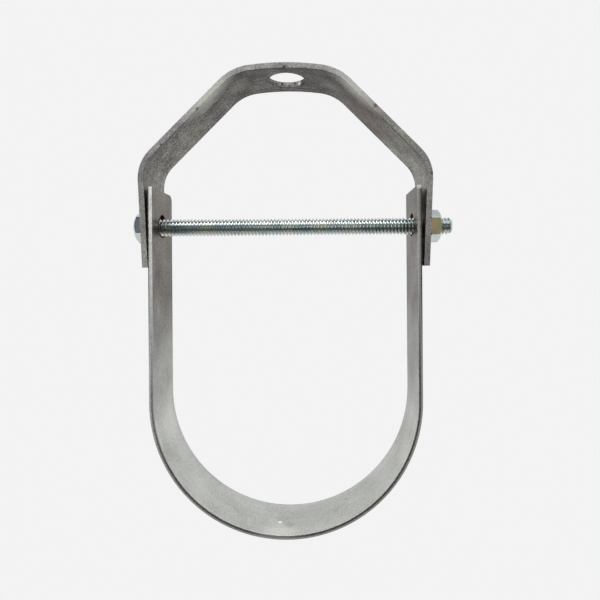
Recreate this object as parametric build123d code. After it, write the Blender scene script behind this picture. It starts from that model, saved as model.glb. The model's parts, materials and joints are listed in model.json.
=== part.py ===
from build123d import *
from math import cos, radians, tan
import os

# Clevis pipe hanger: a U-shaped pipe strap swings on a cross bolt in a yoke that hangs on a threaded rod.
# Millimetres, +Z up. The origin is the centre of the rod hole, half way through the top of the yoke.
# X runs along the cross bolt, Y along the pipe that the strap carries.

# Both straps are cut from the same width of flat bar.
STRAP_WIDTH = 22.2

# Yoke: one bar, bent to a slightly crowned top, two 45 degree slants and two legs that lean inwards.
# Reaches and radii are those of the bar's outer face.
YOKE_THICKNESS = 2.0
BOLT_DROP = 54.85  # from the origin down to the bolt's axis
CROWN_RADIUS = 95.0
CROWN_SLOPE = 7.0  # of the straight runs between the crown and the top bends
SLANT_ANGLE = 45.0
SLANT_REACH = 72.8  # half width plus height above the bolt's axis, anywhere on a slant
LEG_LEAN = 2.5
LEG_FOOT_REACH = 49.6
LEG_FOOT_DROP = 14.6  # below the bolt's axis
TOP_BEND_RADIUS = 18.0
SIDE_BEND_RADIUS = 14.0
ROD_HOLE_DIAMETER = 13.3
YOKE_BOLT_HOLE_DIAMETER = 7.1

# Pipe strap: thinner bar, bent to a half round with straight legs between the legs of the yoke.
PIPE_STRAP_THICKNESS = 1.5
CRADLE_RADIUS = 45.7  # inside, where the pipe lies
CRADLE_DROP = 61.5  # from the bolt's axis down to the centre of the half round
STRAP_LEG_RISE = 13.3
STRAP_HOLE_DIAMETER = 8.5
STRAP_HOLE_RISE = 0.5  # the strap stands a little high on the bolt
STRAP_SHIFT = -0.3  # and lies over against the yoke's left leg

# Cross bolt and nut: quarter inch hex hardware, screwed up until both just touch the yoke's legs.
BOLT_DIAMETER = 6.22
BOLT_LENGTH = 110.4  # under the head
BOLT_END_CHAMFER = 0.8
HARDWARE_REACH = 50.6  # from the middle to the inner faces of the head and the nut
HEX_ACROSS_FLATS = 10.3
HEX_FACE_DIAMETER = 7.6  # flat circle that the cone leaves on a chamfered end
HEAD_HEIGHT = 4.4
HEAD_CHAMFER_ANGLE = 38.0
HEAD_ROLL = 8.0  # the head's front flat looks up by this much, and the nut's looks down
NUT_HEIGHT = 5.4
NUT_CHAMFER_ANGLE = 30.0
NUT_ROLL = -4.5
NUT_BORE_DIAMETER = 6.35

bolt_axis = Plane(origin=(0, 0, -BOLT_DROP), x_dir=(0, 1, 0), z_dir=(1, 0, 0))


def bent_bar(outline, thickness, side):
    """Flat bar, its width along Y, bent so that one of its faces follows a line in the XZ plane."""
    section = make_face(offset(outline, amount=thickness, side=side, closed=True))
    return extrude(Plane.XZ * section, amount=STRAP_WIDTH / 2, both=True)


def bolt_drill(diameter, rise=0):
    """Cylinder along the bolt's axis, through both legs of a strap."""
    return bolt_axis * Pos(0, rise, 0) * Cylinder(diameter / 2, 3 * LEG_FOOT_REACH)


def yoke_outline():
    """Outer face of the yoke, from one foot over the top to the other; height 0 is the origin."""
    crown_top = YOKE_THICKNESS / 2
    apex = crown_top + CROWN_RADIUS * (1 / cos(radians(CROWN_SLOPE)) - 1)
    slant_rise = tan(radians(SLANT_ANGLE))
    slant_apex = SLANT_REACH * slant_rise - BOLT_DROP
    shoulder_x = (slant_apex - apex) / (slant_rise - tan(radians(CROWN_SLOPE)))
    shoulder_z = apex - shoulder_x * tan(radians(CROWN_SLOPE))
    foot_z = -BOLT_DROP - LEG_FOOT_DROP
    lean = tan(radians(LEG_LEAN))
    elbow_z = (slant_apex - slant_rise * (LEG_FOOT_REACH - lean * foot_z)) / (1 + lean * slant_rise)
    elbow_x = LEG_FOOT_REACH + lean * (elbow_z - foot_z)
    half = [(LEG_FOOT_REACH, foot_z), (elbow_x, elbow_z), (shoulder_x, shoulder_z)]
    points = [(-x, z) for x, z in half] + [(0, apex)] + half[::-1]
    bends = [SIDE_BEND_RADIUS, TOP_BEND_RADIUS]
    return FilletPolyline(*points, radius=bends + [CROWN_RADIUS] + bends[::-1])


def make_yoke():
    """Bent bar with the rod hole in its top and a bolt hole in each leg."""
    bar = bent_bar(yoke_outline(), YOKE_THICKNESS, Side.RIGHT)
    rod_drill = Cylinder(ROD_HOLE_DIAMETER / 2, 4 * YOKE_THICKNESS)
    return bar - rod_drill - bolt_drill(YOKE_BOLT_HOLE_DIAMETER)


def make_pipe_strap():
    """Thin bar round the lower half of the pipe, with straight legs up to the bolt."""
    leg_top = STRAP_LEG_RISE - BOLT_DROP
    centre = -BOLT_DROP - CRADLE_DROP
    outline = Polyline((-CRADLE_RADIUS, leg_top), (-CRADLE_RADIUS, centre))
    outline += CenterArc((0, centre), CRADLE_RADIUS, 180, 180)
    outline += Polyline((CRADLE_RADIUS, centre), (CRADLE_RADIUS, leg_top))
    bar = bent_bar(outline, PIPE_STRAP_THICKNESS, Side.RIGHT)
    return Pos(STRAP_SHIFT, 0, 0) * bar - bolt_drill(STRAP_HOLE_DIAMETER, STRAP_HOLE_RISE)


def chamfered_hexagon(height, chamfer_angle, roll, chamfered_ends):
    """Hexagonal prism from z = 0, its corners cut back by a cone at the named ends."""
    outline = RegularPolygon(HEX_ACROSS_FLATS / 2, 6, major_radius=False, rotation=30 - roll)
    prism = extrude(outline, height)
    corner_radius = HEX_ACROSS_FLATS / 2 / cos(radians(30))
    cut_in = corner_radius - HEX_FACE_DIAMETER / 2
    cut_down = cut_in * tan(radians(chamfer_angle))
    turned = Pos(0, 0, height / 2) * Cylinder(corner_radius, height)
    for end in chamfered_ends:
        face = turned.faces().filter_by(GeomType.PLANE).sort_by(Axis.Z)[end]
        turned = chamfer(face.edges(), cut_in, cut_down, reference=face)
    return prism & turned


def make_cross_bolt():
    """Hex bolt with its shank as a plain cylinder of the thread's outside diameter."""
    shank = Pos(0, 0, BOLT_LENGTH / 2) * Cylinder(BOLT_DIAMETER / 2, BOLT_LENGTH)
    shank = chamfer(shank.edges().sort_by(Axis.Z)[-1], BOLT_END_CHAMFER)
    head = Pos(0, 0, -HEAD_HEIGHT) * chamfered_hexagon(HEAD_HEIGHT, HEAD_CHAMFER_ANGLE, HEAD_ROLL, [0])
    return bolt_axis * Pos(0, 0, -HARDWARE_REACH) * (shank + head)


def make_hex_nut():
    """Plain hex nut, chamfered on both faces, with a bore that clears the plain shank."""
    blank = chamfered_hexagon(NUT_HEIGHT, NUT_CHAMFER_ANGLE, NUT_ROLL, [0, -1])
    bore = Pos(0, 0, NUT_HEIGHT / 2) * Cylinder(NUT_BORE_DIAMETER / 2, 2 * NUT_HEIGHT)
    return bolt_axis * Pos(0, 0, HARDWARE_REACH) * (blank - bore)


os.makedirs("parts", exist_ok=True)
export_step(make_yoke(), "parts/yoke.step")
export_step(make_pipe_strap(), "parts/pipe_strap.step")
export_step(make_cross_bolt(), "parts/cross_bolt.step")
export_step(make_hex_nut(), "parts/hex_nut.step")
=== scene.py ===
import json
import math

import bmesh
import bpy
from mathutils import Matrix, Vector


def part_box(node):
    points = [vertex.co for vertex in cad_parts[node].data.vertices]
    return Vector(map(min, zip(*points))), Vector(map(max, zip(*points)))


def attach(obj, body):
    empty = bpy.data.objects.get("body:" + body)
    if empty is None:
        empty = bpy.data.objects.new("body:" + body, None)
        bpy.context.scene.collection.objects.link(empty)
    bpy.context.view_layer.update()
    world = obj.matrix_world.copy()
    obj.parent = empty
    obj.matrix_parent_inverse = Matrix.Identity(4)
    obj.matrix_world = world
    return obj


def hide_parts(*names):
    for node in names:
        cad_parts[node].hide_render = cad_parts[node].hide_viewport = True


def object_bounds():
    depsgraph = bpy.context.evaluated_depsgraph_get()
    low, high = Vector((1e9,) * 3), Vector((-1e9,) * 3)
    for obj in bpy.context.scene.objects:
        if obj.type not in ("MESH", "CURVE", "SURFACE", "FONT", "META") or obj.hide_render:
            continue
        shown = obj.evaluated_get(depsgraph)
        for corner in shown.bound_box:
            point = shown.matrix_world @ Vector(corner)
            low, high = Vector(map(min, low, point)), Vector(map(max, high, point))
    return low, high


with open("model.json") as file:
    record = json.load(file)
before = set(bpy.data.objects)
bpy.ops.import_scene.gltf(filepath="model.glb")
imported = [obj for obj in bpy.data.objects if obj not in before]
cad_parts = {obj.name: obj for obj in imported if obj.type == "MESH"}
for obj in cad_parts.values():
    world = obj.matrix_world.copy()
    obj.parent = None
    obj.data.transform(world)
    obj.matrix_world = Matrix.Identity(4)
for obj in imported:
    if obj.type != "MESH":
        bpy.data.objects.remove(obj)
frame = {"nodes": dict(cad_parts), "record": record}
cad_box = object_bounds()

# ---------------------------------------------------------------- yoke
# The yoke is one galvanised flat bar, sheared to length, punched and bent on a press into a peaked
# frame. Its long edges are slightly rounded by rolling, and its ends and holes are cut square.

MM = 0.001


def linear(hex_colour):
    """An sRGB hex value as a linear colour with alpha."""
    channels = [int(hex_colour[i:i + 2], 16) / 255 for i in (1, 3, 5)]
    return [c / 12.92 if c <= 0.04045 else ((c + 0.055) / 1.055) ** 2.4 for c in channels] + [1.0]


def add(material, kind, settings=None, links=None):
    """One shader node: its properties, ramp stops and socket values are set, and its inputs linked."""
    node = material.node_tree.nodes.new(kind)
    for name, value in (settings or {}).items():
        if name == "stops":
            for stop in value[1:-1]:
                node.color_ramp.elements.new(stop[0])
            for element, stop in zip(node.color_ramp.elements, value):
                element.position = stop[0]
                element.color = linear(stop[1])
        elif isinstance(name, int) or name in node.inputs:
            node.inputs[name].default_value = value
        else:
            setattr(node, name, value)
    for name, socket in (links or {}).items():
        material.node_tree.links.new(socket, node.inputs[name])
    return node


def new_material(name):
    """A material with no nodes yet."""
    material = bpy.data.materials.new(name)
    material.use_nodes = True
    material.node_tree.nodes.clear()
    return material


# A streak is this many times as long as it is wide. A surface counts as the bar's edge once its normal
# turns towards the front or the back.
STREAK_STRETCH = 7
EDGE_BEGINS = 0.55
EDGE_FULL = 0.85


def rolled_marks(material, grain_mm, streak_mm, cloud_mm, shares, contrast):
    """The marks of a rolled and galvanised bar: soft clouds, streaks along its length and a grain.

    Gives the object coordinates, the marks from 0 to 1, the bare grain, and a mask of the edges."""
    place = add(material, "ShaderNodeTexCoord")
    clouds = add(material, "ShaderNodeTexNoise", {"Scale": 1 / (cloud_mm * MM), "Detail": 4.0},
                 {"Vector": place.outputs["Object"]})
    along = 1 / (STREAK_STRETCH * streak_mm * MM)
    stretched = add(material, "ShaderNodeMapping", {"Scale": (along, 1 / (streak_mm * MM), along)},
                    {"Vector": place.outputs["Object"]})
    streaks = add(material, "ShaderNodeTexNoise", {"Scale": 1.0, "Detail": 3.0},
                  {"Vector": stretched.outputs["Vector"]})
    grain = add(material, "ShaderNodeTexNoise", {"Scale": 1 / (grain_mm * MM), "Detail": 3.0,
                                                 "Roughness": 0.65}, {"Vector": place.outputs["Object"]})
    streak_share, grain_share = shares
    first = add(material, "ShaderNodeMath", {"operation": "MULTIPLY_ADD", 1: streak_share},
                {0: streaks.outputs["Fac"], 2: clouds.outputs["Fac"]})
    total = add(material, "ShaderNodeMath", {"operation": "MULTIPLY_ADD", 1: grain_share},
                {0: grain.outputs["Fac"], 2: first.outputs["Value"]})
    middle_mark = 0.5 * (1 + streak_share + grain_share)
    marks = add(material, "ShaderNodeMapRange", {"From Min": middle_mark - contrast,
                                                 "From Max": middle_mark + contrast},
                {"Value": total.outputs["Value"]})
    facing = add(material, "ShaderNodeSeparateXYZ", links={"Vector": place.outputs["Normal"]})
    side = add(material, "ShaderNodeMath", {"operation": "ABSOLUTE"}, {0: facing.outputs["Y"]})
    edge = add(material, "ShaderNodeMapRange", {"From Min": EDGE_BEGINS, "From Max": EDGE_FULL},
               {"Value": side.outputs["Value"]})
    return place.outputs["Object"], marks.outputs["Result"], grain.outputs["Fac"], edge.outputs["Result"]


# A mark is full within half its radius, and is gone a little past it.
MARK_FULL = 0.5
MARK_GONE = 1.1


def small_marks(material, place, colour, marks):
    """Nicks, rust specks and scuffs over a base colour, and spots of painted highlight and painted shade.

    Each is a centre in mm, a radius in mm, a strength from 0 to 1 and a hex colour."""
    for centre, radius, strength, tint in marks:
        offset = add(material, "ShaderNodeVectorMath",
                     {"operation": "DISTANCE", 1: [value * MM for value in centre]}, {0: place})
        spread = add(material, "ShaderNodeMapRange",
                     {"From Min": MARK_GONE * radius * MM, "From Max": MARK_FULL * radius * MM,
                      "To Max": strength}, {"Value": offset.outputs["Value"]})
        colour = add(material, "ShaderNodeMix", {"data_type": "RGBA", "B": linear(tint)},
                     {"Factor": spread.outputs["Result"], "A": colour}).outputs["Result"]
    return colour


def make_piece(shape, name, material, node, sharp_degrees, edge_radius, rounded_degrees):
    """Finish a bmesh as an object that stands for a node, with its sharper edges softened."""
    mesh = bpy.data.meshes.new(name)
    shape.to_mesh(mesh)
    shape.free()
    mesh.shade_smooth()
    mesh.set_sharp_from_angle(angle=math.radians(sharp_degrees))
    mesh.materials.append(material)
    piece = bpy.data.objects.new(name, mesh)
    bpy.context.collection.objects.link(piece)
    if edge_radius:
        rounding = piece.modifiers.new("soft_edges", "BEVEL")
        rounding.width = edge_radius
        rounding.segments = 3
        rounding.limit_method = "ANGLE"
        rounding.angle_limit = math.radians(rounded_degrees)
        rounding.harden_normals = True
    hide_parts(node)
    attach(piece, node)


MERGE_DISTANCE = 0.001 * MM
FLAT_DEGREES = 0.5
WORN_REACH = 2 * MM
WORN_RADIUS = 2.4 * MM


def finished_copy(node, name, material, edge_radius, worn_corner=None):
    """The solid of a node with its long edges rounded, in place of the plain solid.

    The edge through the bar's thickness at a worn corner is rounded off more."""
    shape = bmesh.new()
    shape.from_mesh(frame["nodes"][node].data)
    bmesh.ops.remove_doubles(shape, verts=shape.verts, dist=MERGE_DISTANCE)
    flat = [e for e in shape.edges if e.is_manifold and e.calc_face_angle() < math.radians(FLAT_DEGREES)]
    bmesh.ops.dissolve_edges(shape, edges=flat, use_verts=False)
    if worn_corner is not None:
        worn = [e for e in shape.edges
                if all((v.co - worn_corner).length < WORN_REACH for v in e.verts)]
        bmesh.ops.bevel(shape, geom=worn, offset=WORN_RADIUS, offset_type="OFFSET", segments=5,
                        profile=0.5, affect="EDGES", material=-1)
    make_piece(shape, name, material, node, sharp_degrees=35, edge_radius=edge_radius,
               rounded_degrees=50)


# Hot-dip galvanised flat bar, dull and mottled: the rolled faces are dark grey with streaks along
# the bar, and the sheared edges are a little paler. The real grain is drawn twice as coarse to show.
EDGE_ROUGHNESS = 0.6
yoke_steel = new_material("galvanised_yoke_steel")
place, marks, grain, edge = rolled_marks(yoke_steel, grain_mm=0.7, streak_mm=1.1, cloud_mm=9.0,
                                         shares=(0.8, 2.2), contrast=0.44)
# Painted shade: the faces are painted darker at the crown and lighter down the sides.
painted_shade_crown_colour = add(yoke_steel, "ShaderNodeValToRGB", {"stops": [
    (0.0, "#393735"), (0.5, "#5f5d5a"), (1.0, "#8b8985")]}, {"Fac": marks})
side_colour = add(yoke_steel, "ShaderNodeValToRGB", {"stops": [
    (0.0, "#53514d"), (0.5, "#82807b"), (1.0, "#b0aea8")]}, {"Fac": marks})
heights = add(yoke_steel, "ShaderNodeSeparateXYZ", links={"Vector": place})
down = add(yoke_steel, "ShaderNodeMapRange", {"From Min": -8 * MM, "From Max": -24 * MM},
           {"Value": heights.outputs["Z"]})
face_colour_with_painted_shade = add(yoke_steel, "ShaderNodeMix", {"data_type": "RGBA"},
                  {"Factor": down.outputs["Result"], "A": painted_shade_crown_colour.outputs["Color"],
                   "B": side_colour.outputs["Color"]})
near_rim = add(yoke_steel, "ShaderNodeMapRange",
               {"From Min": -5 * MM, "From Max": -10.5 * MM, "To Max": 0.5}, {"Value": heights.outputs["Y"]})
rimmed = add(yoke_steel, "ShaderNodeMix", {"data_type": "RGBA", "B": linear("#4b4946")},
             {"Factor": near_rim.outputs["Result"], "A": face_colour_with_painted_shade.outputs["Result"]})
edge_colour = add(yoke_steel, "ShaderNodeValToRGB", {"stops": [
    (0.0, "#7d7b7a"), (0.5, "#9c9b99"), (1.0, "#bbbab7")]}, {"Fac": marks})
bare = add(yoke_steel, "ShaderNodeMix", {"data_type": "RGBA"},
           {"Factor": edge, "A": rimmed.outputs["Result"], "B": edge_colour.outputs["Color"]})
tint_place = add(yoke_steel, "ShaderNodeTexNoise", {"Scale": 1 / (22 * MM), "Detail": 1.0},
                 {"Vector": place})
tint = add(yoke_steel, "ShaderNodeValToRGB", {"stops": [
    (0.35, "#c8c7bc"), (0.5, "#c6c5c3"), (0.65, "#c6c3c8")]}, {"Fac": tint_place.outputs["Fac"]})
tinted = add(yoke_steel, "ShaderNodeMix", {"data_type": "RGBA", "blend_type": "OVERLAY", "Factor": 0.25},
             {"A": bare.outputs["Result"], "B": tint.outputs["Color"]})
colour = small_marks(yoke_steel, place, tinted.outputs["Result"], [
    ((-27.0, -20.0, -10.0), 15, 0.75, "#dadad4"),
    ((26.5, -20.0, -7.5), 15, 0.7, "#dadad4"),
    ((-4.4, 5.0, -0.3), 0.6, 0.7, "#3b3a38"),
    ((-2.2, 6.3, 0.1), 0.6, 0.8, "#3b3a38"),
    ((0.4, 6.6, -0.5), 0.5, 0.8, "#3b3a38"),
    ((2.6, 6.1, 0.2), 0.5, 0.7, "#3b3a38"),
    ((4.4, 5.0, -0.2), 0.9, 0.9, "#fbf8e6"),
    ((-17.0, -1.0, -4.5), 5, 0.25, "#b4b1a6"),
    ((29.0, 2.0, -14.0), 13, 0.65, "#503d3a"),
    ((13.0, 2.0, -2.5), 11, 0.35, "#454349"),
    ((15.5, 1.0, -4.5), 4, 0.25, "#b4b1a6"),
    ((-0.2, -11.1, -0.6), 0.7, 0.8, "#3a3836"),
    ((-30.1, -11.1, -15.0), 0.7, 0.7, "#444240"),
    ((-42.6, -11.1, -27.3), 0.7, 0.7, "#444240"),
    ((50.6, -11.1, -37.6), 0.8, 0.7, "#444240"),
    ((31.2, -11.1, -14.2), 0.9, 0.7, "#6a4a38")])
face_rough = add(yoke_steel, "ShaderNodeMapRange", {"To Min": 0.52, "To Max": 0.4}, {"Value": marks})
rough = add(yoke_steel, "ShaderNodeMix", {"data_type": "FLOAT", "B": EDGE_ROUGHNESS},
            {"Factor": edge, "A": face_rough.outputs["Result"]})
relief = add(yoke_steel, "ShaderNodeBump", {"Strength": 0.5, "Distance": 0.03 * MM}, {"Height": grain})
shader = add(yoke_steel, "ShaderNodeBsdfPrincipled", {"Metallic": 1.0},
             {"Base Color": colour, "Roughness": rough.outputs["Result"],
              "Normal": relief.outputs["Normal"]})
add(yoke_steel, "ShaderNodeOutputMaterial", links={"Surface": shader.outputs["BSDF"]})
finished_copy("yoke", "bent_yoke", yoke_steel, edge_radius=0.18 * MM)

# ---------------------------------------------------------------- pipe strap
# The strap is a thinner galvanised bar of the same width, rolled to a half round with two straight
# legs. It is brighter than the yoke, with a satin bloom of zinc, and its edges show the shear's cut.

# Galvanised strip with a pale satin zinc, painted even and light round the bend, as painted light from
# above, and painted duller and warmer up the legs, as painted shade. The sheared edge is part smooth cut
# and part dark torn metal, and the border between them wanders with the grain.
CRADLE_RADIUS = 45.7 * MM
STRAP_THICKNESS = 1.5 * MM
cradle_x, _, cradle_z = next(m for m in frame["record"]["mounts"] if m["name"] == "pipe_cradle")["pos_m"]
strap_steel = new_material("galvanised_strap_steel")
place, marks, grain, edge = rolled_marks(strap_steel, grain_mm=0.6, streak_mm=1.4, cloud_mm=12.0,
                                         shares=(0.35, 1.6), contrast=0.42)
painted_light_round_face = add(strap_steel, "ShaderNodeValToRGB", {"stops": [
    (0.0, "#a3a49f"), (0.5, "#bdbfba"), (1.0, "#d0d1cd")]}, {"Fac": marks})
painted_shade_leg_face = add(strap_steel, "ShaderNodeValToRGB", {"stops": [
    (0.0, "#4d4944"), (0.5, "#6b6660"), (1.0, "#8a867f")]}, {"Fac": marks})
height = add(strap_steel, "ShaderNodeSeparateXYZ", links={"Vector": place})
up_leg = add(strap_steel, "ShaderNodeMapRange", {"From Min": -124 * MM, "From Max": -80 * MM},
             {"Value": height.outputs["Z"]})
face_colour_with_painted_shade = add(strap_steel, "ShaderNodeMix", {"data_type": "RGBA"},
                  {"Factor": up_leg.outputs["Result"], "A": painted_light_round_face.outputs["Color"],
                   "B": painted_shade_leg_face.outputs["Color"]})
below = add(strap_steel, "ShaderNodeMath", {"operation": "SUBTRACT", 1: cradle_z},
            {0: height.outputs["Z"]})
hung = add(strap_steel, "ShaderNodeMath", {"operation": "MINIMUM", 1: 0.0}, {0: below.outputs["Value"]})
across = add(strap_steel, "ShaderNodeMath", {"operation": "SUBTRACT", 1: cradle_x},
             {0: height.outputs["X"]})
from_centre = add(strap_steel, "ShaderNodeCombineXYZ",
                  links={"X": across.outputs["Value"], "Z": hung.outputs["Value"]})
reach = add(strap_steel, "ShaderNodeVectorMath", {"operation": "LENGTH"},
            {0: from_centre.outputs["Vector"]})
TEAR_WANDER = 0.8 * MM
TEAR_START = CRADLE_RADIUS + TEAR_WANDER / 2
wander = add(strap_steel, "ShaderNodeMath", {"operation": "MULTIPLY_ADD", 1: TEAR_WANDER},
             {0: grain, 2: reach.outputs["Value"]})
depth = add(strap_steel, "ShaderNodeMapRange",
            {"From Min": TEAR_START, "From Max": TEAR_START + STRAP_THICKNESS},
            {"Value": wander.outputs["Value"]})
round_edge = add(strap_steel, "ShaderNodeValToRGB", {"stops": [
    (0.0, "#d8d7d4"), (0.12, "#93928f"), (0.22, "#6f6e6d"), (0.46, "#747371"), (0.62, "#cac8c5"),
    (0.9, "#d8d6d2")]}, {"Fac": depth.outputs["Result"]})
leg_edge = add(strap_steel, "ShaderNodeValToRGB", {"stops": [
    (0.0, "#f2f2f0"), (0.14, "#c2c1be"), (0.5, "#b4b3af"), (0.68, "#93928f"), (0.78, "#484745"),
    (1.0, "#5c5b59")]}, {"Fac": depth.outputs["Result"]})
edge_height = add(strap_steel, "ShaderNodeMapRange", {"From Min": -105 * MM, "From Max": -75 * MM},
                  {"Value": height.outputs["Z"]})
dull_edge = add(strap_steel, "ShaderNodeMix", {"data_type": "RGBA"},
                {"Factor": edge_height.outputs["Result"], "A": round_edge.outputs["Color"],
                 "B": leg_edge.outputs["Color"]})
# Painted highlight: the smooth cut of the left leg's edge is painted near white, as lit from the left.
left = add(strap_steel, "ShaderNodeMapRange", {"From Min": 0.0, "From Max": -40 * MM, "To Max": 0.9},
           {"Value": height.outputs["X"]})
left_height = add(strap_steel, "ShaderNodeMapRange", {"From Min": -140 * MM, "From Max": -45 * MM},
                  {"Value": height.outputs["Z"]})
smooth_cut = add(strap_steel, "ShaderNodeMapRange", {"From Min": 0.9, "From Max": 0.7},
                 {"Value": depth.outputs["Result"]})
left_leg = add(strap_steel, "ShaderNodeMath", {"operation": "MULTIPLY"},
               {0: left.outputs["Result"], 1: left_height.outputs["Result"]})
left_cut_highlight = add(strap_steel, "ShaderNodeMath", {"operation": "MULTIPLY"},
                {0: left_leg.outputs["Value"], 1: smooth_cut.outputs["Result"]})
highlight_cut_colour = add(strap_steel, "ShaderNodeValToRGB", {"stops": [(0.1, "#c6c7c3"), (0.7, "#ffffff")]},
                 {"Fac": marks})
edge_colour = add(strap_steel, "ShaderNodeMix", {"data_type": "RGBA"},
                  {"Factor": left_cut_highlight.outputs["Value"], "A": dull_edge.outputs["Result"],
                   "B": highlight_cut_colour.outputs["Color"]})
bare = add(strap_steel, "ShaderNodeMix", {"data_type": "RGBA"},
           {"Factor": edge, "A": face_colour_with_painted_shade.outputs["Result"], "B": edge_colour.outputs["Result"]})
colour = small_marks(strap_steel, place, bare.outputs["Result"], [
    ((-46.0, 2.0, -51.0), 8, 0.4, "#6f5d58"),
    ((-46.0, 6.0, -59.0), 7, 0.4, "#6c6852"),
    ((46.0, 1.0, -47.0), 15, 0.65, "#504c3f"),
    ((46.0, 4.0, -101.0), 15, 0.45, "#77756d"),
    # The near-white spot on the right leg's front top corner is a painted highlight.
    ((46.1, -11.1, -41.8), 1.3, 0.8, "#f4f4f1"),
    ((46.0, 4.0, -62.0), 8, 0.2, "#77705c"),
    ((-4.0, -12.0, -163.5), 9, 0.4, "#eae9e6"),
    ((9.0, 1.0, -161.0), 9, 0.3, "#9c9d99"),
    ((31.0, 2.0, -150.0), 10, 0.2, "#9c9d99"),
    ((-44.0, 2.0, -128.0), 7, 0.25, "#dcdeda"),
    ((0.2, -4.2, -162.0), 1.8, 0.35, "#83837f"),
    ((-6.0, -2.2, -162.0), 2.2, 0.3, "#dfe1dd"),
    ((-3.4, -2.4, -162.0), 1.0, 0.85, "#f6f7f4"),
    ((20.9, 4.3, -156.8), 0.5, 0.7, "#5a5957")])
face_rough = add(strap_steel, "ShaderNodeMapRange", {"To Min": 0.44, "To Max": 0.34}, {"Value": marks})
rough = add(strap_steel, "ShaderNodeMix", {"data_type": "FLOAT", "B": EDGE_ROUGHNESS},
            {"Factor": edge, "A": face_rough.outputs["Result"]})
relief = add(strap_steel, "ShaderNodeBump", {"Strength": 0.3, "Distance": 0.02 * MM}, {"Height": grain})
shader = add(strap_steel, "ShaderNodeBsdfPrincipled", {"Metallic": 1.0},
             {"Base Color": colour, "Roughness": rough.outputs["Result"],
              "Normal": relief.outputs["Normal"]})
add(strap_steel, "ShaderNodeOutputMaterial", links={"Surface": shader.outputs["BSDF"]})
strap_low, strap_high = [Vector(corner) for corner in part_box("pipe_strap")]
worn_corner = Vector((strap_low.x + STRAP_THICKNESS / 2, strap_high.y, strap_high.z))
finished_copy("pipe_strap", "round_strap", strap_steel, edge_radius=0.1 * MM,
              worn_corner=worn_corner)

# ---------------------------------------------------------------- cross bolt
# The bolt is a quarter inch hex bolt with a coarse thread rolled along its whole length, plated with
# bright zinc. Its head is a hexagon whose corners are cut back by a cone.

bolt_low, bolt_high = [Vector(corner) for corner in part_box("cross_bolt")]
swing = next(j for j in frame["record"]["behaviour"]["joints"] if j["name"] == "strap_swing")
bolt_axis_z = swing["pos_m"][2]
THREAD_PITCH = 1.27 * MM
THREAD_DEPTH = 0.64 * MM
STEPS_PER_TURN = 36
SPARE_TURNS = 3
SHANK_RADIUS = 3.11 * MM
END_CHAMFER = 0.8 * MM
HEX_FLAT_REACH = 5.15 * MM
HEX_CORNER_REACH = HEX_FLAT_REACH / math.cos(math.radians(30))
HEAD_FACE_RADIUS = 4.5 * MM
HEAD_HEIGHT = 4.4 * MM
HEAD_CHAMFER_DEGREES = 38
CUT_TOLERANCE = 0.0001 * MM
TURNING_STEPS = 72


def turn(shape, profile):
    """Spin an outline of (x along the axis, radius) points into a closed blank about the X axis."""
    points = [shape.verts.new((x, 0, radius)) for x, radius in profile]
    lines = [shape.edges.new(pair) for pair in zip(points, points[1:])]
    bmesh.ops.spin(shape, geom=points + lines, cent=(0, 0, 0), axis=(1, 0, 0),
                   angle=2 * math.pi, steps=TURNING_STEPS, use_merge=True)
    bmesh.ops.remove_doubles(shape, verts=shape.verts, dist=MERGE_DISTANCE)


def saw(shape, point, outward):
    """Cut a bmesh at a plane, drop what lies outward of it and close the cut."""
    geometry = shape.verts[:] + shape.edges[:] + shape.faces[:]
    cut = bmesh.ops.bisect_plane(shape, geom=geometry, dist=CUT_TOLERANCE, clear_outer=True,
                                 plane_co=point, plane_no=outward)
    rim = [part for part in cut["geom_cut"] if isinstance(part, bmesh.types.BMEdge)]
    bmesh.ops.edgeloop_fill(shape, edges=rim)


def cut_hexagon(shape, roll_degrees):
    """Saw six flats onto a turned blank; the first looks to the front, raised by the roll."""
    for turn_of_flat in range(6):
        angle = math.radians(60 * turn_of_flat - roll_degrees)
        outward = Vector((0, -math.cos(angle), -math.sin(angle)))
        saw(shape, outward * HEX_FLAT_REACH, outward)


def set_on_axis(shape, name, node, sharp_degrees, edge_radius=0.0):
    """Move a turned bmesh onto the bolt's axis and finish it in zinc, with its faces outwards."""
    bmesh.ops.translate(shape, verts=shape.verts, vec=(0, 0, bolt_axis_z))
    bmesh.ops.recalc_face_normals(shape, faces=shape.faces)
    make_piece(shape, name, zinc, node, sharp_degrees, edge_radius,
               rounded_degrees=sharp_degrees)


# Bright zinc plate, a thin and even film of metal that shows its surroundings softly and carries
# faint cloudy tints of blue and straw. The nut's upper flat is painted a little darker, as painted shade.
zinc = new_material("bright_zinc_plate")
place = add(zinc, "ShaderNodeTexCoord")
tint = add(zinc, "ShaderNodeTexNoise", {"Scale": 1 / (4 * MM), "Detail": 3.0},
           {"Vector": place.outputs["Object"]})
colour = add(zinc, "ShaderNodeValToRGB", {"stops": [
    (0.3, "#b4bec0"), (0.5, "#c8cfcf"), (0.7, "#d3d4ca")]}, {"Fac": tint.outputs["Fac"]})
# The mark on the nut's upper flat is painted shade.
colour = small_marks(zinc, place.outputs["Object"], colour.outputs["Color"], [
    ((53.3, -3.0, bolt_axis_z / MM + 5.2), 4, 0.55, "#97a3a6")])
rough = add(zinc, "ShaderNodeMapRange", {"To Min": 0.16, "To Max": 0.28}, {"Value": tint.outputs["Fac"]})
shader = add(zinc, "ShaderNodeBsdfPrincipled", {"Metallic": 1.0},
             {"Base Color": colour, "Roughness": rough.outputs["Result"]})
add(zinc, "ShaderNodeOutputMaterial", links={"Surface": shader.outputs["BSDF"]})

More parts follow.
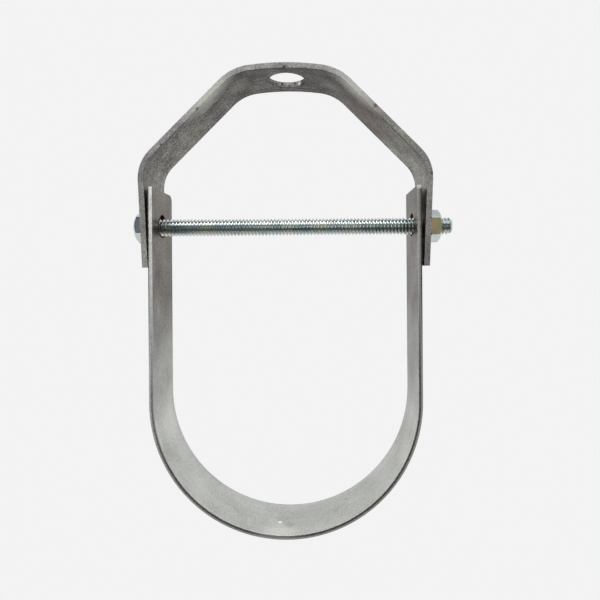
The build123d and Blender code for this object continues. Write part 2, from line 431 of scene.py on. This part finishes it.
head_inner = bolt_low.x + HEAD_HEIGHT
head = bmesh.new()
head_slope = math.tan(math.radians(HEAD_CHAMFER_DEGREES)) * (HEX_CORNER_REACH - HEAD_FACE_RADIUS)
turn(head, [(bolt_low.x, 0), (bolt_low.x, HEAD_FACE_RADIUS), (bolt_low.x + head_slope, HEX_CORNER_REACH),
            (head_inner, HEX_CORNER_REACH), (head_inner, 0)])
cut_hexagon(head, roll_degrees=8.0)
set_on_axis(head, "bolt_head", "cross_bolt", sharp_degrees=25, edge_radius=0.2 * MM)

# The thread's profile, from crest to crest in shares of the pitch, is drawn a little shallower than the
# standard's, with wide crests, so that it looks as soft as the real one. It is turned too long at both
# ends, then sawn to length and chamfered at its free end.
shank = bmesh.new()
crest = SHANK_RADIUS
root = SHANK_RADIUS - THREAD_DEPTH
profile = [(0.0, crest), (0.18, crest), (0.53, root), (0.65, root), (1.0, crest)]
tooth = [shank.verts.new((head_inner - 2 * THREAD_PITCH + share * THREAD_PITCH, 0, radius))
         for share, radius in profile]
lines = [shank.edges.new(pair) for pair in zip(tooth, tooth[1:])]
turns = math.ceil((bolt_high.x - head_inner) / THREAD_PITCH) + SPARE_TURNS
bmesh.ops.spin(shank, geom=tooth + lines, cent=(0, 0, 0), axis=(1, 0, 0), angle=2 * math.pi * turns,
               dvec=(THREAD_PITCH / STEPS_PER_TURN, 0, 0), steps=turns * STEPS_PER_TURN)
bmesh.ops.remove_doubles(shank, verts=shank.verts, dist=2 * MERGE_DISTANCE)
saw(shank, (head_inner, 0, 0), (-1, 0, 0))
saw(shank, (bolt_high.x, 0, 0), (1, 0, 0))
for vertex in shank.verts:
    reach = math.hypot(vertex.co.y, vertex.co.z)
    limit = SHANK_RADIUS - max(0.0, vertex.co.x - (bolt_high.x - END_CHAMFER))
    if reach > limit:
        vertex.co.y *= limit / reach
        vertex.co.z *= limit / reach
set_on_axis(shank, "threaded_shank", "cross_bolt", sharp_degrees=40)

# ---------------------------------------------------------------- hex nut
# The nut is a plain zinc-plated hex nut, chamfered on both faces and countersunk at both mouths of
# its bore. It is run up the bolt until it touches the yoke's leg.

nut_low, nut_high = [Vector(corner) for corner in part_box("hex_nut")]
BORE_RADIUS = 3.175 * MM
MOUTH_RADIUS = 3.45 * MM
NUT_CHAMFER_DEGREES = 30
NUT_FACE_RADIUS = 3.8 * MM
nut = bmesh.new()
nut_slope = math.tan(math.radians(NUT_CHAMFER_DEGREES)) * (HEX_CORNER_REACH - NUT_FACE_RADIUS)
mouth = MOUTH_RADIUS - BORE_RADIUS
turn(nut, [(nut_low.x + mouth, BORE_RADIUS), (nut_low.x, MOUTH_RADIUS), (nut_low.x, NUT_FACE_RADIUS),
           (nut_low.x + nut_slope, HEX_CORNER_REACH), (nut_high.x - nut_slope, HEX_CORNER_REACH),
           (nut_high.x, NUT_FACE_RADIUS), (nut_high.x, MOUTH_RADIUS), (nut_high.x - mouth, BORE_RADIUS),
           (nut_low.x + mouth, BORE_RADIUS)])
cut_hexagon(nut, roll_degrees=-4.5)
set_on_axis(nut, "zinc_nut", "hex_nut", sharp_degrees=25, edge_radius=0.25 * MM)

# ---------------------------------------------------------------- floor, light and camera
# The hanger, made to hang by its rod hole, keeps its upright pose in front of a plain pale ground, in soft
# light from above.

GROUND = "#f3f3f3"
FLOOR_HALF_SIZE = 0.6
FLOOR_BEHIND = 0.45
FLOOR_BELOW = 0.3
floor_place = (0, FLOOR_BEHIND, cad_box[0][2] - FLOOR_BELOW)
floor_shape = bmesh.new()
bmesh.ops.create_grid(floor_shape, x_segments=1, y_segments=1, size=FLOOR_HALF_SIZE)
bmesh.ops.translate(floor_shape, verts=floor_shape.verts, vec=floor_place)
floor_mesh = bpy.data.meshes.new("floor")
floor_shape.to_mesh(floor_mesh)
floor_shape.free()
floor = bpy.data.objects.new("floor", floor_mesh)
bpy.context.collection.objects.link(floor)

# Pale paper. It is the plain ground to the eye and in the metal, and keeps the soft shadow that
# falls on its middle, straight below the hanger.
paper = new_material("pale_paper")
ray = add(paper, "ShaderNodeLightPath")
mirrored = add(paper, "ShaderNodeMath", {"operation": "MAXIMUM"},
               {0: ray.outputs["Is Glossy Ray"], 1: ray.outputs["Is Transmission Ray"]})
place = add(paper, "ShaderNodeTexCoord")
flat_place = add(paper, "ShaderNodeVectorMath", {"operation": "MULTIPLY", 1: (1.0, 1.0, 0.0)},
                 {0: place.outputs["Object"]})
from_middle = add(paper, "ShaderNodeVectorMath", {"operation": "LENGTH"}, {0: flat_place.outputs["Vector"]})
outside = add(paper, "ShaderNodeMapRange", {"From Min": 0.08, "From Max": 0.26},
              {"Value": from_middle.outputs["Value"]})
plainly_seen = add(paper, "ShaderNodeMath", {"operation": "MULTIPLY"},
                   {0: ray.outputs["Is Camera Ray"], 1: outside.outputs["Result"]})
ground_share = add(paper, "ShaderNodeMath", {"operation": "MAXIMUM"},
                   {0: plainly_seen.outputs["Value"], 1: mirrored.outputs["Value"]})
seen = add(paper, "ShaderNodeEmission", {"Color": linear(GROUND)})
lit = add(paper, "ShaderNodeBsdfDiffuse", {"Color": linear("#f0f0f0")})
both = add(paper, "ShaderNodeMixShader", links={0: ground_share.outputs["Value"], 1: lit.outputs["BSDF"],
                                                2: seen.outputs["Emission"]})
add(paper, "ShaderNodeOutputMaterial", links={"Surface": both.outputs["Shader"]})
floor_mesh.materials.append(paper)

# The room is the same pale ground behind and above the hanger, and unlit in front of it, where the
# metal shows it as dark bands. The head's front flat shows a cool corner of it and the nut's a warm one.
room = bpy.data.worlds.new("studio")
room.use_nodes = True
room.node_tree.nodes.clear()
direction = add(room, "ShaderNodeTexCoord")
heading = add(room, "ShaderNodeSeparateXYZ", links={"Vector": direction.outputs["Generated"]})
up = add(room, "ShaderNodeMapRange", {"From Min": -1.0, "From Max": 1.0}, {"Value": heading.outputs["Z"]})
back_wall = add(room, "ShaderNodeValToRGB", {"stops": [
    (0.0, "#b4b2ae"), (0.3, "#8f8d89"), (0.37, "#e4e3e0"), (0.42, GROUND), (1.0, GROUND)]},
    {"Fac": up.outputs["Result"]})
HEAD_SHOWS = (-0.36, -0.86, 0.33)
NUT_SHOWS = (0.24, -0.97, -0.06)
to_head = add(room, "ShaderNodeVectorMath", {"operation": "DISTANCE", 1: HEAD_SHOWS},
              {0: direction.outputs["Generated"]})
cool = add(room, "ShaderNodeMapRange", {"From Min": 0.4, "From Max": 0.1},
           {"Value": to_head.outputs["Value"]})
cool_side = add(room, "ShaderNodeMix",
                {"data_type": "RGBA", "A": linear("#626661"), "B": linear("#4c546a")},
                {"Factor": cool.outputs["Result"]})
to_nut = add(room, "ShaderNodeVectorMath", {"operation": "DISTANCE", 1: NUT_SHOWS},
             {0: direction.outputs["Generated"]})
warm = add(room, "ShaderNodeMapRange", {"From Min": 0.24, "From Max": 0.1},
           {"Value": to_nut.outputs["Value"]})
dark_room = add(room, "ShaderNodeMix", {"data_type": "RGBA", "B": linear("#b8a27a")},
                {"Factor": warm.outputs["Result"], "A": cool_side.outputs["Result"]})
over_it = add(room, "ShaderNodeMapRange", {"From Min": 0.42, "From Max": 0.56},
              {"Value": heading.outputs["Z"]})
front_wall = add(room, "ShaderNodeMix", {"data_type": "RGBA", "B": linear(GROUND)},
                 {"Factor": over_it.outputs["Result"], "A": dark_room.outputs["Result"]})
to_front = add(room, "ShaderNodeMapRange", {"From Min": -0.05, "From Max": -0.4},
               {"Value": heading.outputs["Y"]})
walls = add(room, "ShaderNodeMix", {"data_type": "RGBA"},
            {"Factor": to_front.outputs["Result"], "A": back_wall.outputs["Color"],
             "B": front_wall.outputs["Result"]})
room_ray = add(room, "ShaderNodeLightPath")
clear_view = add(room, "ShaderNodeMath", {"operation": "MAXIMUM"},
                 {0: room_ray.outputs["Is Camera Ray"], 1: room_ray.outputs["Is Transmission Ray"]})
shown = add(room, "ShaderNodeMix", {"data_type": "RGBA", "B": linear(GROUND)},
            {"Factor": clear_view.outputs["Value"], "A": walls.outputs["Result"]})
room_light = add(room, "ShaderNodeBackground", {"Strength": 1.0}, {"Color": shown.outputs["Result"]})
add(room, "ShaderNodeOutputWorld", links={"Surface": room_light.outputs["Background"]})
bpy.context.scene.world = room


def soft_lamp(name, place, target, size, power, colour):
    """A square area lamp aimed at a point."""
    lamp = bpy.data.lights.new(name, "AREA")
    lamp.size = size
    lamp.energy = power
    lamp.color = linear(colour)[:3]
    stand = bpy.data.objects.new(name, lamp)
    aim = (Vector(target) - Vector(place)).to_track_quat("-Z", "Y").to_matrix().to_4x4()
    stand.matrix_world = Matrix.Translation(place) @ aim
    bpy.context.collection.objects.link(stand)


middle = (0, 0, bolt_axis_z)
soft_lamp("overhead", (-0.05, -0.35, 0.6), middle, size=0.5, power=2.9, colour="#ffffff")
soft_lamp("side_left", (-0.6, -0.45, -0.06), middle, size=0.4, power=1.5, colour="#fdfdff")
soft_lamp("side_right", (0.6, -0.45, 0.0), middle, size=0.4, power=0.8, colour="#fffdfa")

# The camera looks level along +Y. Its lens and shift are in 600ths of the picture's width.
PICTURE_WIDTH = 600
SENSOR_WIDTH = 36.0
FOCAL_LENGTH = 482.0
SHIFT_ACROSS = -21.2
SHIFT_UP = -29.3
CAMERA_RIGHT = 12.1 * MM
CAMERA_DISTANCE = 177.0 * MM
CAMERA_UNDER_BOLT = 16.1 * MM
CAMERA_ROLL = math.radians(-0.4)
view = bpy.data.cameras.new("front_view")
view.sensor_width = SENSOR_WIDTH
view.lens = FOCAL_LENGTH / PICTURE_WIDTH * SENSOR_WIDTH
view.shift_x = SHIFT_ACROSS / PICTURE_WIDTH
view.shift_y = SHIFT_UP / PICTURE_WIDTH
view.clip_start = 0.01
camera = bpy.data.objects.new("front_view", view)
camera.matrix_world = (
    Matrix.Translation((CAMERA_RIGHT, -CAMERA_DISTANCE, bolt_axis_z - CAMERA_UNDER_BOLT))
    @ Matrix.Rotation(math.radians(90), 4, "X") @ Matrix.Rotation(CAMERA_ROLL, 4, "Z"))
bpy.context.collection.objects.link(camera)
bpy.context.scene.camera = camera
bpy.context.scene.view_settings.view_transform = "Standard"
